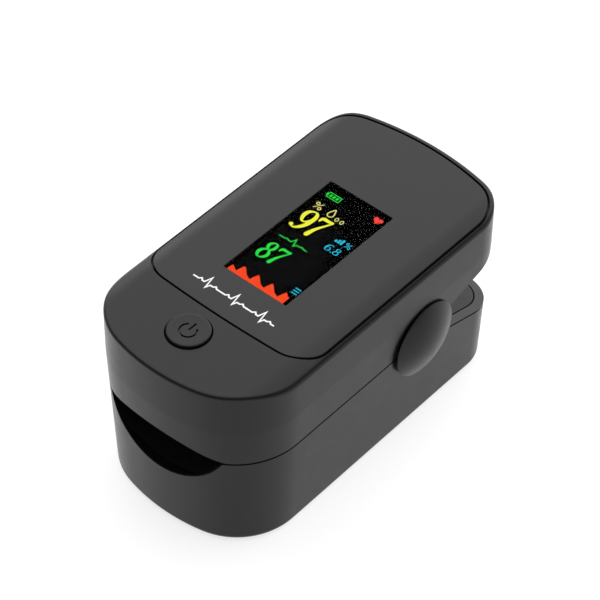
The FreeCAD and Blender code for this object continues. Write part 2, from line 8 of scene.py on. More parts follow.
import bmesh
import bpy
from mathutils import Matrix, Vector
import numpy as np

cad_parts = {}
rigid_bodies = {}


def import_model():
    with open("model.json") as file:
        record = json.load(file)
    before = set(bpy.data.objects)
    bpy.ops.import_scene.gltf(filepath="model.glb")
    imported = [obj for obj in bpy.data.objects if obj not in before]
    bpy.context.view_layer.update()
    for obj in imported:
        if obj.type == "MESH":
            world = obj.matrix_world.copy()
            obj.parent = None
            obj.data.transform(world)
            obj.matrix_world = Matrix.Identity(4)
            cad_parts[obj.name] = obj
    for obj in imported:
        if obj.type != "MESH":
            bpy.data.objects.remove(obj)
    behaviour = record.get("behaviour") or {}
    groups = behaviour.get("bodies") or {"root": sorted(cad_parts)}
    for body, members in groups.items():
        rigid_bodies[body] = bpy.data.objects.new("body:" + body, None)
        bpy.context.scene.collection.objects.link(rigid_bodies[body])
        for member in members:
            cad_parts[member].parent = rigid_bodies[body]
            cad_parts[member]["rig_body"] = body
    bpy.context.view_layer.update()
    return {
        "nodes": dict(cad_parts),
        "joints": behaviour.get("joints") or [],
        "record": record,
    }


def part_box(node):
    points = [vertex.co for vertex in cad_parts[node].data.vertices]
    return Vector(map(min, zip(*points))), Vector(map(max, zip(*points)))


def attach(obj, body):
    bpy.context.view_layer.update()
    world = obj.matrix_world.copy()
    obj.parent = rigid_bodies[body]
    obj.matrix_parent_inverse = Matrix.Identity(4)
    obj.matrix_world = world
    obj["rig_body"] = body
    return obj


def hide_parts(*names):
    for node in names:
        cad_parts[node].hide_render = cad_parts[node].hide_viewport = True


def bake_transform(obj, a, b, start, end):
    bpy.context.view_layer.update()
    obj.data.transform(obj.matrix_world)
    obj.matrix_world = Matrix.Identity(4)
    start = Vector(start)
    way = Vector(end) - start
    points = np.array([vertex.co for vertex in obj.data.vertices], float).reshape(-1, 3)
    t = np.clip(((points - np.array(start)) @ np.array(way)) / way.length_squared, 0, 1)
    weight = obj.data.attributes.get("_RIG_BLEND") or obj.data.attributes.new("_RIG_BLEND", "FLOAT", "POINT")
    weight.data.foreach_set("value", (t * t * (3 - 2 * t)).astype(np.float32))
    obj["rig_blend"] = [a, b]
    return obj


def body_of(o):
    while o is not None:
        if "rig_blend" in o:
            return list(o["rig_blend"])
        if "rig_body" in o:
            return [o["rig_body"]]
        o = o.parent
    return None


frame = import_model()
nodes = frame["nodes"]
slot_of = {row["node"]: row["material_slot"] for row in frame["record"]["subparts"]}
HINGE = Vector(next(joint["pos_m"] for joint in frame["joints"] if joint["name"] == "jaw_hinge"))
MM = 0.001
SIDES = (("left", -1), ("right", 1))


# ------------------------------------------------------------------ places read from the frame
def low(node):
    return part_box(node)[0]


def high(node):
    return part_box(node)[1]


def middle(node):
    return (low(node) + high(node)) / 2


# ------------------------------------------------------------------ material building blocks
PIXEL = 0.135 * MM                # pitch of the display's dots


def new_material(name):
    """A material, its shader and the object coordinates that its patterns follow."""
    mat = bpy.data.materials.new(name)
    mat.use_nodes = True
    tree = mat.node_tree
    return mat, tree.nodes["Principled BSDF"], tree.nodes.new("ShaderNodeTexCoord").outputs["Object"]


def feed(node, socket, source):
    node.id_data.links.new(source, node.inputs[socket])


def settle(node, values):
    for socket, value in values.items():
        node.inputs[socket].default_value = value


def after(source, kind, socket="Vector", **values):
    """A new node fed by source, with constants on its other sockets."""
    node = source.id_data.nodes.new("ShaderNode" + kind)
    feed(node, socket, source)
    settle(node, values)
    return node


def stretched(coords, scale):
    return after(coords, "Mapping", Scale=scale).outputs["Vector"]


def noise(coords, scale, detail=3.0, rough=0.5):
    return after(coords, "TexNoise", Scale=scale, Detail=detail, Roughness=rough).outputs["Fac"]


def bands(coords, pitch, direction="X"):
    """Soft bands that repeat once every pitch."""
    node = after(coords, "TexWave", Scale=math.pi / 10 / pitch)
    node.bands_direction = direction
    return node.outputs["Fac"]


def ramp(fac, stops, sharp=False):
    """Colours along a factor, from stops (place, colour)."""
    node = after(fac, "ValToRGB", "Fac")
    elements = node.color_ramp.elements
    if sharp:
        node.color_ramp.interpolation = "CONSTANT"
    while len(elements) < len(stops):
        elements.new(0.5)
    for element, (place, colour) in zip(elements, stops):
        element.position = place
        element.color = (*colour, 1.0)
    return node.outputs["Color"]


def spread(fac, to_low, to_high, from_low=0.3, from_high=0.7):
    limits = {"From Min": from_low, "From Max": from_high, "To Min": to_low, "To Max": to_high}
    return after(fac, "MapRange", "Value", **limits).outputs["Result"]


def surface(shader, colours, rough, bump_from=None, strength=0.0, distance=0.0):
    """Feeds a shader its colour and roughness, and a bump where one is given."""
    feed(shader, "Base Color", colours)
    feed(shader, "Roughness", rough)
    if bump_from is not None:
        bump = after(bump_from, "Bump", "Height", Strength=strength, Distance=distance)
        feed(shader, "Normal", bump.outputs["Normal"])


def tinted(colour, share):
    return [min(1.0, c * share) for c in colour]


def moulded(name, colour, rough, grain=0.3, grain_size=0.14, tone=0.04, spec=0.5, ior=1.31):
    """Moulded plastic or rubber: a faint cloud in the colour, uneven gloss and a fine grain."""
    mat, shader, coords = new_material(name)
    cloud = noise(coords, 110.0, 4.0, 0.6)
    patches = noise(coords, 420.0, 3.0, 0.55)
    fine = noise(coords, 1 / (grain_size * MM), 2.0, 0.6)
    surface(shader, ramp(cloud, [(0.3, tinted(colour, 1 - tone)), (0.7, tinted(colour, 1 + tone))]),
            spread(patches, rough - 0.03, rough + 0.03), fine, grain, 0.012 * MM)
    settle(shader, {"Specular IOR Level": spec, "IOR": ior})
    return mat


def drawn_metal(name, colour, rough, stretch):
    """Metal with fine lines along the way it was drawn or rolled."""
    mat, shader, coords = new_material(name)
    lines = noise(stretched(coords, stretch), 2500.0, 4.0, 0.7)
    surface(shader, ramp(lines, [(0.3, tinted(colour, 0.8)), (0.7, tinted(colour, 1.1))]),
            spread(lines, rough - 0.08, rough + 0.1), lines, 0.2, 0.01 * MM)
    settle(shader, {"Metallic": 1.0})
    return mat


def clear(name, colour, rough, ior):
    """Clear plastic with a faint unevenness in its polish."""
    mat, shader, coords = new_material(name)
    cloud = noise(coords, 300.0, 2.0)
    surface(shader, ramp(cloud, [(0.3, tinted(colour, 0.97)), (0.7, colour)]),
            spread(cloud, rough, rough * 1.4))
    settle(shader, {"Transmission Weight": 1.0, "IOR": ior, "Specular IOR Level": 0.5})
    return mat


def glowing(name, colour):
    """Lit display pixels: the light dips a little between one pixel and the next."""
    mat, shader, coords = new_material(name)
    both = after(bands(coords, PIXEL, "X"), "Math", 0)
    both.operation = "MULTIPLY"
    feed(both, 1, bands(coords, PIXEL, "Y"))
    feed(shader, "Emission Color", ramp(both.outputs["Value"], [(0.0, tinted(colour, 0.82)), (0.4, colour)]))
    settle(shader, {"Emission Strength": 1.05, "Base Color": (0.005, 0.005, 0.005, 1),
                    "Specular IOR Level": 0.0})
    return mat


def solder_masked():
    """Green board: slightly raised tracks, with the weave of the glass cloth in the gloss."""
    mat, shader, coords = new_material("circuit_board")
    cells = after(coords, "TexVoronoi", Scale=650.0)
    cells.feature = "DISTANCE_TO_EDGE"
    cells.distance = "CHEBYCHEV"
    tracks = spread(cells.outputs["Distance"], 1.0, 0.0, 0.02, 0.06)
    weave = bands(coords, math.pi / 9000, "DIAGONAL")       # about 0.35 mm
    surface(shader, ramp(tracks, [(0.2, (0.008, 0.09, 0.035)), (0.8, (0.02, 0.17, 0.07))]),
            spread(weave, 0.22, 0.34), tracks, 0.6, 0.03 * MM)
    return mat


def traced_film():
    """Amber film with copper tracks running along it."""
    mat, shader, coords = new_material("flex_amber")
    tracks = bands(coords, 0.4 * MM)
    surface(shader, ramp(tracks, [(0.35, (0.42, 0.17, 0.02)), (0.55, (0.62, 0.30, 0.10))]),
            spread(noise(coords, 700.0), 0.22, 0.35), tracks, 0.4, 0.02 * MM)
    return mat


def printed_sleeve():
    """The shrink sleeve of a cell: dark, with a thin pale line and a copper-coloured band at one end."""
    mat, shader, coords = new_material("cell_jacket")
    length = after(coords.node.outputs["Generated"], "SeparateXYZ").outputs["Y"]
    creases = noise(stretched(coords, (1, 0.15, 1)), 1400.0)
    surface(shader, ramp(length, [(0.0, (0.035, 0.05, 0.075)), (0.70, (0.5, 0.5, 0.48)),
                                  (0.715, (0.55, 0.24, 0.07))], sharp=True),
            spread(creases, 0.2, 0.32), creases, 0.25, 0.02 * MM)
    settle(shader, {"Coat Weight": 0.4})
    return mat


def black_glass():
    """The dark face of the display, with the faintest trace of its dots."""
    mat, shader, coords = new_material("display_black")
    grid = bands(coords, PIXEL)
    surface(shader, ramp(grid, [(0.0, (0.0012, 0.0012, 0.0015)), (1.0, (0.0022, 0.0022, 0.0026))]),
            spread(noise(coords, 260.0), 0.18, 0.24))
    settle(shader, {"Specular IOR Level": 0.0})
    return mat


GREY = (0.0062, 0.0062, 0.0064)
MATERIALS = {
    "shell_plastic": moulded("shell_plastic", GREY, 0.30),
    "panel_plastic": moulded("panel_plastic", tinted(GREY, 1.15), 0.28, grain=0.22, ior=1.33),
    "frame_plastic": moulded("frame_plastic", tinted(GREY, 0.9), 0.40, grain=0.45, grain_size=0.2, ior=1.27),
    "button_plastic": moulded("button_plastic", GREY, 0.30, grain=0.2),
    "silicone": moulded("silicone", (0.0024, 0.0024, 0.0026), 0.6, grain_size=0.25, spec=0.12),
    "clear_window": clear("clear_window", (0.55, 0.09, 0.07), 0.05, 1.5),
    "clear_lens": clear("clear_lens", (0.97, 0.98, 1.0), 0.0, 1.045),
    "display_black": black_glass(),
    "backlight_white": moulded("backlight_white", (0.82, 0.82, 0.80), 0.4),
    "foam": moulded("foam", (0.015, 0.015, 0.015), 0.8, grain=0.9, grain_size=0.12, tone=0.3, spec=0.2),
    "flex_amber": traced_film(),
    "circuit_board": solder_masked(),
    "chip_black": moulded("chip_black", (0.012, 0.012, 0.012), 0.5, grain=0.6, grain_size=0.05),
    "connector_white": moulded("connector_white", (0.72, 0.69, 0.60), 0.45),
    "led_package": moulded("led_package", (0.70, 0.66, 0.50), 0.25, grain=0.1),
    "contact_metal": drawn_metal("contact_metal", (0.72, 0.71, 0.68), 0.22, (1, 1, 0.08)),
    "spring_steel": drawn_metal("spring_steel", (0.42, 0.42, 0.43), 0.28, (1, 0.3, 0.3)),
    "screw_steel": drawn_metal("screw_steel", (0.38, 0.38, 0.40), 0.33, (1, 1, 0.2)),
    "cell_jacket": printed_sleeve(),
}
PICTURE_COLOURS = [
    glowing("lit_yellow", (0.95, 0.95, 0.05)),
    glowing("lit_pale_yellow", (0.75, 0.75, 0.20)),
    glowing("lit_green", (0.02, 0.80, 0.06)),
    glowing("lit_cyan", (0.02, 0.55, 0.75)),
    glowing("lit_red", (1.0, 0.06, 0.04)),
    glowing("lit_orange", (1.0, 0.065, 0.012)),
]
WHITE_INK = moulded("white_ink", (0.80, 0.80, 0.80), 0.5)

for name, node in nodes.items():
    node.data.materials.clear()
    node.data.materials.append(MATERIALS[slot_of[name]])


# ------------------------------------------------------------------ mesh building blocks
def add_object(name, mesh, *materials):
    piece = bpy.data.objects.new(name, mesh)
    bpy.context.scene.collection.objects.link(piece)
    for material in materials:
        mesh.materials.append(material)
    return piece


def reworked(mesh, work, smooth=True, source=None):
    """Runs a job on a mesh, or on a copy of source put into it, and sets its shading."""
    bm = bmesh.new()
    bm.from_mesh(source or mesh)
    work(bm)
    for face in bm.faces:
        face.smooth = smooth
    bm.to_mesh(mesh)
    bm.free()


def face_outwards(bm):
    bmesh.ops.recalc_face_normals(bm, faces=bm.faces)


def add_mesh(name, points, faces, *materials, smooth=True):
    mesh = bpy.data.meshes.new(name)
    mesh.from_pydata([tuple(p) for p in points], [], faces)
    mesh.validate()
    reworked(mesh, face_outwards, smooth)
    return add_object(name, mesh, *materials)


def solid(name, rings, *materials):
    """A closed skin over rings of points with equal counts, with a flat face at each end."""
    count, last = len(rings[0]), len(rings) - 1
    faces = []
    for start in range(0, last * count, count):
        for k in range(count):
            a, b = start + k, start + (k + 1) % count
            faces.append((a, b, b + count, a + count))
    faces += [tuple(range(count)), tuple(range(last * count, (last + 1) * count))]
    return add_mesh(name, [point for ring in rings for point in ring], faces, *materials)


def apply_modifiers(piece):
    """Replaces the mesh by what its modifiers make of it."""
    evaluated = piece.evaluated_get(bpy.context.evaluated_depsgraph_get())
    mesh = bpy.data.meshes.new_from_object(evaluated)
    piece.modifiers.clear()
    piece.data = mesh


def rounded(piece, width, angle=28.0, segments=2):
    mod = piece.modifiers.new("edges", "BEVEL")
    mod.width = width
    mod.segments = segments
    mod.limit_method = "ANGLE"
    mod.angle_limit = math.radians(angle)
    mod.harden_normals = True
    even_normals(piece)


def even_normals(piece):
    """Lets large faces keep their own direction, so that flat parts stay flat to the eye."""
    mod = piece.modifiers.new("normals", "WEIGHTED_NORMAL")
    mod.mode = "FACE_AREA"
    mod.weight = 90
    mod.keep_sharp = True


def combine(piece, others, operation="DIFFERENCE"):
    """Cuts the other shapes out of a piece, or joins or intersects them with it, and removes them."""
    for other in others:
        mod = piece.modifiers.new("combine", "BOOLEAN")
        mod.object = other
        mod.operation = operation
        mod.solver = "EXACT"
    bpy.context.view_layer.update()
    apply_modifiers(piece)
    for other in others:
        bpy.data.objects.remove(other)


def cut_all(piece, cutters):
    """Cuts several shapes out of a piece and cleans the result."""
    def clean(bm):
        bmesh.ops.remove_doubles(bm, verts=bm.verts, dist=0.002 * MM)
        bmesh.ops.dissolve_degenerate(bm, edges=bm.edges, dist=0.001 * MM)

    combine(piece, cutters)
    reworked(piece.data, clean)


def placed(piece, body, slot, *replaced):
    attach(piece, body)
    if replaced:
        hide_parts(*replaced)
    return piece


def soft_copy(name, node_name, width):
    """A CAD node's shape with its hard edges slightly rounded."""
    def simplify(bm):
        bmesh.ops.remove_doubles(bm, verts=bm.verts, dist=0.001 * MM)
        bmesh.ops.dissolve_limit(bm, angle_limit=math.radians(0.4), verts=bm.verts, edges=bm.edges,
                                 use_dissolve_boundaries=False)

    mesh = bpy.data.meshes.new(name)
    reworked(mesh, simplify, source=nodes[node_name].data)
    slot = slot_of[node_name]
    piece = add_object(name, mesh, MATERIALS[slot])
    rounded(piece, width)
    return placed(piece, body_of(nodes[node_name])[0], slot, node_name)


def spokes_round(axis):
    """The axis at unit length, and a function that gives the direction at each turn round it."""
    axis = Vector(axis).normalized()
    side = axis.orthogonal().normalized()
    other = axis.cross(side)
    return axis, lambda turn: math.cos(turn) * side + math.sin(turn) * other


def lathe(name, profile, centre, axis, *materials, steps=96):
    """Turns a profile of (distance along the axis, radius), both in mm, round an axis through centre."""
    axis, spoke = spokes_round(axis)
    rings = [[Vector(centre) + axis * distance * MM + spoke(2 * math.pi * step / steps) * radius * MM
              for step in range(steps)] for distance, radius in profile]
    return solid(name, rings, *materials)


def tube(name, path, radius, material, sides=10):
    """A round wire along a list of points."""
    rings = []
    up = Vector((0.31, 0.17, 0.94))       # a direction that no wire here follows
    for i, place in enumerate(path):
        ahead = (path[min(i + 1, len(path) - 1)] - path[max(i - 1, 0)]).normalized()
        up = (up - ahead * up.dot(ahead)).normalized()
        across = ahead.cross(up)
        turns = [2 * math.pi * step / sides for step in range(sides)]
        rings.append([place + (up * math.cos(turn) + across * math.sin(turn)) * radius for turn in turns])
    return solid(name, rings, material)


def block(corner, far_corner):
    (x0, y0, z0), (x1, y1, z1) = corner, far_corner
    points = [(x, y, z) for z in (z0, z1) for x, y in ((x0, y0), (x1, y0), (x1, y1), (x0, y1))]
    faces = [(0, 1, 2, 3), (4, 5, 6, 7), (0, 1, 5, 4), (1, 2, 6, 5), (2, 3, 7, 6), (3, 0, 4, 7)]
    return add_mesh("cutter", points, faces, smooth=False)


# ------------------------------------------------------------------ casing outlines, all in mm
CREASE, FLARE = 22.9, 0.036       # under the crease the walls widen upwards by FLARE per mm
PARTING, PARTING_GAP = HINGE.z / MM, 0.15
HINGE_Y = HINGE.y / MM
RIM_OUT = FLARE * (CREASE - PARTING)
casing_low, casing_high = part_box("upper_shell")
TOP = casing_high.z / MM
HALF = casing_high.x / MM - RIM_OUT
FRONT, REAR = casing_low.y / MM + RIM_OUT, casing_high.y / MM - RIM_OUT
# outlines: half width, then the end, bow radius and corner radius at the front, and the same at the rear
JAW = (HALF, FRONT, 30.0, 11.0, REAR, 46.0, 6.5)
PANEL = (high("top_panel").x / MM, low("top_panel").y / MM, 200.0, 4.6,
         high("top_panel").y / MM, 44.3, 5.9)
CROWN_RUN, CROWN_DROP = 3.2, 1.25
CROWN_RADIUS = (CROWN_RUN ** 2 + CROWN_DROP ** 2) / (2 * CROWN_DROP)
WALL, FIT, PAD, LIP = 1.35, 0.05, 1.0, 0.15
LOWER_SLOPE, LOWER_OFFSET = -16.5, -0.9       # behind the hinge the jaws slope apart, in degrees
UPPER_SLOPE, UPPER_OFFSET = 16.4, -0.1
RIM = 0.5                         # rounding of the top rim
BARREL = 3.4                      # radius of the holes for the hinge
FAR = 40.0                        # past every side of the object
# finger channel sections: y, height of the arch's middle and its radius
LOWER_CHANNEL = ((-31.4, 10.75, 11.74), (-27.4, 10.75, 11.74), (-22.4, 14.0, 16.5), (4.1, 14.0, 16.5))
UPPER_CHANNEL = ((-31.4, 18.6, 32.1), (-27.4, 18.6, 32.1), (-22.4, 20.9, 13.06), (5.2, 20.9, 13.06))


def flare(z):
    """How far the walls at height z stand outside those at the parting plane."""
    return FLARE * (min(z, CREASE) - PARTING)


def end_shape(half, y_end, bow, corner, sign):
    """Corner centre, bow centre and the turn at which the corner meets the bow, for one end."""
    corner_x = half - corner
    bow_y = y_end - sign * bow
    reach = math.sqrt((bow - corner) ** 2 - corner_x ** 2)
    return corner_x, bow_y + sign * reach, bow_y, math.atan2(reach, corner_x)


def between(start, end, share):
    return tuple(a + (b - a) * share for a, b in zip(start, end))


def outline(shape, inset, corner_steps=16, bow_steps=14, side_steps=26):
    """Plan points (x, y) of a casing outline, set in by inset, always the same number of them."""
    half, y_front, front_bow, front_corner, y_rear, rear_bow, rear_corner = shape
    arcs = []
    ends = ((y_rear, rear_bow, rear_corner, 1), (y_front, front_bow, front_corner, -1))
    for y_end, bow, corner, sign in ends:
        corner_x, corner_y, bow_y, meet = end_shape(half, y_end, bow, corner, sign)
        arc = []
        for k in range(corner_steps):
            turn = meet * k / corner_steps
            arc.append((corner_x + (corner - inset) * math.cos(turn),
                        corner_y + sign * (corner - inset) * math.sin(turn)))
        for k in range(bow_steps):
            turn = meet + (math.pi / 2 - meet) * k / bow_steps
            arc.append(((bow - inset) * math.cos(turn), bow_y + sign * (bow - inset) * math.sin(turn)))
        arc.append((0.0, y_end - sign * inset))
        arc += [(-x, y) for x, y in reversed(arc[:-1])]
        arcs.append(arc if sign > 0 else arc[::-1])
    rear_arc, front_arc = arcs
    left = [between(rear_arc[-1], front_arc[0], k / side_steps) for k in range(1, side_steps)]
    right = [between(front_arc[-1], rear_arc[0], k / side_steps) for k in range(1, side_steps)]
    return rear_arc + left + front_arc + right


def crown(x):
    """Height of the top, which rolls down towards both long sides."""
    out = max(0.0, abs(x) - (HALF + RIM_OUT - CROWN_RUN))
    return TOP - (CROWN_RADIUS - math.sqrt(CROWN_RADIUS ** 2 - out ** 2))


def crowned(shape, inset, drop=0.0):
    """A ring that lies on the top, or under it by drop."""
    return [(x, y, crown(x) - drop) for x, y in outline(shape, inset)]


def ring(shape, inset, z):
    return [(x, y, z) for x, y in outline(shape, inset)]


def wall_ring(inset, z):
    """The flared outside of the casing at height z, set in by inset."""
    return ring(JAW, inset - flare(z), z)


# ------------------------------------------------------------------ shapes used to cut, in mm
def loft(name, rings, *materials):
    return solid(name, [[Vector(point) * MM for point in ring] for ring in rings], *materials)


def prism(shape, inset, z0, z1):
    return loft("cutter", [ring(shape, inset, z0), ring(shape, inset, z1)])


def wall_prism(inset, z0, z1):
    levels = [z0, CREASE, z1] if z0 < CREASE < z1 else [z0, z1]
    return loft("cutter", [wall_ring(inset, z) for z in levels])


def side_prism(points):
    """A prism right across the object from points (y, z) of its side view."""
    return loft("cutter", [[(x, y, z) for y, z in points] for x in (-FAR, FAR)])


def box_mm(x0, x1, y0, y1, z0, z1):
    return block((x0 * MM, y0 * MM, z0 * MM), (x1 * MM, y1 * MM, z1 * MM))


def rod(radius, start, end, steps=96):
    axis = Vector(end) - Vector(start)
    return lathe("cutter", [(0, radius), (axis.length, radius)], Vector(start) * MM, axis, steps=steps)


def hinge_barrel():
    return rod(BARREL, (-FAR, HINGE_Y, PARTING), (FAR, HINGE_Y, PARTING))


def on_slope(y, degrees, offset):
    return PARTING + offset + math.tan(math.radians(degrees)) * (y - HINGE_Y)


def slope_start(degrees, offset, z):
    return HINGE_Y + (z - PARTING - offset) / math.tan(math.radians(degrees))


def beyond_parting(edge, slope, offset, away):
    """All of the far side of a jaw's parting line, which turns into the slope behind the hinge."""
    return side_prism([(-FAR, away), (-FAR, edge), (slope_start(slope, offset, edge), edge),
                       (FAR, on_slope(FAR, slope, offset)), (FAR, away)])


def channel_shape(sections, sign, cut_z, offset, steps=64):
    """The finger channel of one jaw, made larger by offset and closed at the height cut_z."""
    rings = []
    for y, apex, radius in sections:
        apex, radius = apex + sign * offset, radius + offset
        centre_z = apex - sign * radius
        reach = math.acos(sign * (cut_z - centre_z) / radius)
        rings.append([(radius * math.sin(turn), y, centre_z + sign * radius * math.cos(turn))
                      for turn in (reach * (2 * k / steps - 1) for k in range(steps + 1))])
    return loft("cutter", rings)


# ------------------------------------------------------------------ casings, panel and linings
def upper_casing():
    heights = (14.0, PARTING + 0.3, 19.0, 21.0, CREASE - 0.4, CREASE, CREASE + 0.4, 25.0)
    rings = [wall_ring(0, z) for z in heights]
    rings.append([(x, y, min(27.5, crown(x) - 1.2)) for x, y in outline(JAW, -RIM_OUT)])
    for k in range(10):
        turn = math.pi / 2 * k / 9
        rings.append(crowned(JAW, RIM * (1 - math.cos(turn)) - RIM_OUT, RIM * (1 - math.sin(turn))))
    rings += [crowned(JAW, d - RIM_OUT) for d in (0.7, 1.0, 1.4, 1.8, 2.2, 2.6, 3.0, 3.4, 4.5, 6.0)]
    body = loft("upper_casing", rings, MATERIALS["shell_plastic"])
    window_low, window_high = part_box("display_window")
    well_half, well_more, button_hole, shelf = 7.1, 3.1, 3.3, 28.9
    button = middle("power_button") / MM
    cut_all(body, [
        beyond_parting(PARTING + PARTING_GAP, UPPER_SLOPE, UPPER_OFFSET, -FAR),
        wall_prism(WALL, 10, 27.7),
        channel_shape(UPPER_CHANNEL, 1, PARTING - 0.5, LIP + 0.01),
        hinge_barrel(),
        prism(PANEL, -0.3, shelf, 35),
        box_mm(-well_half, well_half, window_low.y / MM - well_more, window_high.y / MM + well_more, 20, 31),
        rod(button_hole, (button.x, button.y, 20), (button.x, button.y, 35)),
    ])
    rounded(body, 0.14 * MM)
    placed(body, "upper_jaw", "shell_plastic", "upper_shell")


def cover_panel():
    """The panel round the display, level in the middle and rolling down with the casing."""
    base = low("top_panel").z / MM
    rings = [ring(PANEL, 0, base), ring(PANEL, 0, base + 0.25)]
    insets = (0.0, 0.3, 0.6, 0.9, 1.2, 1.5, 1.8, 2.1, 2.4, 2.7, 3.1, 3.7, 4.4)
    rings += [crowned(PANEL, inset) for inset in insets]
    panel = loft("cover_panel", rings, MATERIALS["panel_plastic"])
    (x0, y0, _), (x1, y1, _) = (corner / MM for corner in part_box("display_window"))
    cut_all(panel, [box_mm(x0 - FIT, x1 + FIT, y0 - FIT, y1 + FIT, 20, 35)])
    rounded(panel, 0.10 * MM)
    placed(panel, "upper_jaw", "panel_plastic", "top_panel")


def lower_casing():
    fillet = 1.2
    rings = []
    for k in range(10):
        turn = math.pi / 2 * k / 9
        rings.append(wall_ring(fillet * (1 - math.sin(turn)), fillet * (1 - math.cos(turn))))
    rings += [wall_ring(0, z) for z in (4.0, 8.0, 12.0, PARTING + 0.5)]
    body = loft("lower_casing", rings, MATERIALS["shell_plastic"])

    # the battery door's opening, the rails beside it, and the room behind its front edge
    door = low("battery_door").y / MM
    rail_half, door_front = 11.3, door + 0.3
    cutters = [
        beyond_parting(PARTING - PARTING_GAP, LOWER_SLOPE, LOWER_OFFSET, FAR),
        wall_prism(WALL, 1.5, PARTING + 2),
        channel_shape(LOWER_CHANNEL, -1, PARTING + 1, LIP + 0.01),
        hinge_barrel(),
        box_mm(-10.5, 10.5, door_front + 0.2, 22.1, -1, 3),
        box_mm(-rail_half + 0.4, rail_half - 0.4, door_front, FAR, -1, 0.85),
        box_mm(-rail_half, rail_half, door - 0.1, FAR, 0.2, 0.852),
        box_mm(-8.1, 8.1, 26.9, FAR, -2, 4.1),
    ]
    for x in (-12.4, 12.4):       # screw holes with room for the heads
        for y in (-13.4, 17.6):
            cutters += [rod(0.85, (x, y, -1), (x, y, 1.2), 40), rod(0.6, (x, y, 1), (x, y, 4), 24)]

    # a thin groove round the rear, just under the sloping edge
    start, above, below = HINGE_Y + 2.5, 0.18, 0.46
    groove = side_prism([(y, on_slope(y, LOWER_SLOPE, LOWER_OFFSET) - drop)
                         for y, drop in ((start, below), (FAR, below), (FAR, above), (start, above))])
    combine(groove, [wall_prism(0.3, -5, PARTING + 3)])
    cut_all(body, cutters + [groove])
    rounded(body, 0.22 * MM)
    placed(body, "lower_jaw", "shell_plastic", "lower_shell")


def finger_pad(name, sections, sign, closed_z, edge, optic):
    """Soft lining of one jaw's finger channel, with a thin lip that covers the casing's edge at the mouth."""
    pad = channel_shape(sections, sign, closed_z, PAD)
    pad.data.materials.append(MATERIALS["silicone"])
    combine(pad, [wall_prism(WALL + 0.2, 5, 26)], "INTERSECT")
    lip = channel_shape(sections, sign, closed_z, LIP)
    combine(lip, [wall_prism(0.05, 5, 26)], "INTERSECT")
    combine(pad, [lip], "UNION")
    rear = high(name + "_finger_pad").y / MM
    (x0, y0, _), (x1, y1, _) = (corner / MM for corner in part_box(optic))
    cut_all(pad, [
        channel_shape(sections, sign, closed_z, 0.0),
        box_mm(-FAR, FAR, -FAR, FAR, *sorted((edge, edge - sign * FAR))),
        box_mm(-FAR, FAR, rear, FAR, 0, FAR),
        box_mm(x0 - 0.1, x1 + 0.1, y0 - 0.1, y1 + 0.1, 5, 26),
    ])
    rounded(pad, 0.10 * MM)
    pad.name = pad.data.name = name + "_pad_lining"
    placed(pad, "lower_jaw" if sign < 0 else "upper_jaw", "silicone", name + "_finger_pad")


def battery_cover():
    """The sliding door, with an arrow cut into it that shows which way it opens."""
    cover = soft_copy("battery_cover", "battery_door", 0.08 * MM)
    arrow = [(-3.0, 9.5), (0.0, 13.0), (3.0, 9.5), (1.2, 9.5), (1.2, 4.0), (-1.2, 4.0), (-1.2, 9.5)]
    combine(cover, [loft("cutter", [[(x, y, z) for x, y in arrow] for z in (-1.0, 0.28)])])
    even_normals(cover)


upper_casing()
cover_panel()
lower_casing()
finger_pad("lower", LOWER_CHANNEL, -1, PARTING + 1.0, PARTING - 0.2, "sensor_window")
finger_pad("upper", UPPER_CHANNEL, 1, PARTING - 0.5, PARTING + 0.2, "emitter_window")
soft_copy("upper_liner", "upper_frame", 0.10 * MM)
soft_copy("lower_liner", "lower_frame", 0.10 * MM)
battery_cover()


def hinge_cap(name, side):
    """A thin domed disc with a rounded rim, on the hub that turns on the pin. The profile is in mm."""
    node = "hinge_cap_" + name
    radius = (high(node).z - low(node).z) / 2 / MM
    outer = (high(node).x if side > 0 else -low(node).x) / MM
    hub, hub_radius, bore = 13.45, 3.0, 1.3
    inner, edge, rim = 15.76, 0.24, 0.10
    profile = [(hub, bore), (hub, hub_radius), (inner - 0.05, hub_radius), (inner, 3.1),
               (inner, radius - 0.2), (inner + 0.04, radius - 0.05), (inner + 0.12, radius)]
    for step in range(1, 5):
        turn = math.radians(64) * step / 4
        profile.append((inner + edge - rim + rim * math.sin(turn), radius - rim + rim * math.cos(turn)))
    dome_start, start = profile[-1]
    for step in range(1, 25):
        r = start * (1 - step / 24) + 0.02
        profile.append((dome_start + (outer - dome_start) * (1 - (r / start) ** 2), r))
    cap = lathe("hinge_disc_" + name, profile, (0, HINGE.y, HINGE.z), (side, 0, 0),
                MATERIALS["shell_plastic"], steps=128)
    placed(cap, "lower_jaw", "shell_plastic", node)


for name, side in SIDES:
    hinge_cap(name, side)


# ------------------------------------------------------------------ power button
def ring_stroke(centre, radius, width, start, end, bottom, top, steps=40):
    """A closed block that follows part of a circle, used to engrave."""
    rings = []
    for i in range(steps + 1):
        turn = math.radians(start + (end - start) * i / steps)
        spoke = Vector((math.cos(turn), math.sin(turn), 0))
        rings.append([Vector((centre.x, centre.y, z)) + spoke * (radius + r * width / 2)
                      for r, z in ((-1, bottom), (1, bottom), (1, top), (-1, top))])
    return solid("cutter", rings)


